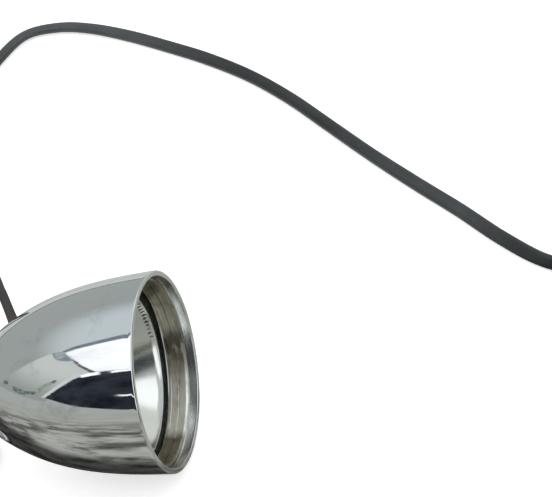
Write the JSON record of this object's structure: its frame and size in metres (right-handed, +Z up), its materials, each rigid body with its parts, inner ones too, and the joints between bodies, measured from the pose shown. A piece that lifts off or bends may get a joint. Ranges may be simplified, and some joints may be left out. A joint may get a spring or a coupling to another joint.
{
  "type": "navigation light",
  "caption": "Chromed bullet-shaped boat light with a recessed reflector in a wide open mouth, on a tilting deck foot, with a flat twin lead.",
  "frame": {"origin": "on the deck under the middle of the light's outline, its lead left out", "axes": "+X along the lamp axis out of the mouth, +Z up from the deck, +Y the side that the lead leaves on"},
  "size_m": [0.4746, 0.3827, 0.0915],
  "materials": {
    "chrome_shell": "polished, tarnished and lightly scuffed",
    "chrome_fitting": "polished cast, lightly scuffed",
    "worn_nickel": "worn nickel over brass, turned",
    "clear_glass": "clear",
    "black_rubber": "matt",
    "satin_reflector": "satin",
    "bulb_glass": "clear",
    "tungsten": "drawn",
    "cap_brass": "nickel washed",
    "phenolic": "matt",
    "solder": "satin",
    "contact_brass": "satin",
    "spring_steel": "satin",
    "holder_brass": "satin",
    "zinc_plate": "zinc plated",
    "red_wire": "satin",
    "black_wire": "satin",
    "stainless": "satin",
    "fibre": "matt",
    "sleeve_rubber": "matt",
    "lead_sheath": "satin",
    "tie_nylon": "satin",
    "connector_plastic": "satin"
  },
  "bodies": {
    "mount": {"foot": "chrome_fitting", "foot_pad": "black_rubber", "pivot_bolt": "stainless", "pivot_washers": "stainless", "pivot_nut": "stainless", "friction_washers": "fibre", "cord_drop": "lead_sheath", "cord_run": "lead_sheath", "cord_coil": "lead_sheath", "cord_tie": "tie_nylon", "cord_tail": "lead_sheath", "connector_body": "connector_plastic", "connector_pins": "contact_brass"},
    "lamp": {"housing": "chrome_shell", "lens_seal": "black_rubber", "reflector": "satin_reflector", "contact_spring": "spring_steel", "holder_tube": "holder_brass", "holder_collar": "zinc_plate", "holder_insulator": "phenolic", "holder_rivets": "contact_brass", "lead_live": "red_wire", "lead_return": "black_wire", "terminal_block": "phenolic", "terminal_screws": "contact_brass", "block_screw": "contact_brass", "core_live": "red_wire", "core_return": "black_wire", "tail_lug": "chrome_fitting", "tail_gasket": "black_rubber", "tail_washer": "zinc_plate", "tail_nut": "zinc_plate", "strain_relief": "sleeve_rubber"},
    "glass": {"lens_glass": "clear_glass"},
    "ring": {"lens_ring": "worn_nickel"},
    "plunger": {"contact_disc": "phenolic", "contact_pins": "contact_brass"},
    "bulb": {"bulb_glass": "bulb_glass", "filament": "tungsten", "bulb_cap": "cap_brass", "bulb_base": "phenolic", "bulb_contacts": "solder"}
  },
  "joints": [
    {"name": "tilt", "type": "hinge", "parent": "mount", "child": "lamp", "pos_m": [-0.048, 0, 0.0465], "axis": [0, -1, 0], "range_deg": [0, 60], "deforming": ["cord_drop"]},
    {"name": "glass_out", "type": "slide", "parent": "lamp", "child": "glass", "axis": [1, 0, 0], "range_m": [0, 0.00826]},
    {"name": "ring_turn", "type": "hinge", "parent": "glass", "child": "ring", "pos_m": [0.0612, 0, 0.0465], "axis": [1, 0, 0], "range_deg": [0, 1980]},
    {"name": "bulb_push", "type": "slide", "parent": "lamp", "child": "plunger", "axis": [-1, 0, 0], "range_m": [0, 0.0015], "stiffness_N_per_m": 2000, "springref_m": -0.002, "deforming": ["contact_spring"]},
    {"name": "bulb_turn", "type": "hinge", "parent": "plunger", "child": "bulb", "pos_m": [0.03, 0, 0.0465], "axis": [-1, 0, 0], "range_deg": [0, 15]}
  ],
  "couplings": [
    {"joint": "glass_out", "follows": "ring_turn", "m_per_rad": 0.00023873}
  ]
}
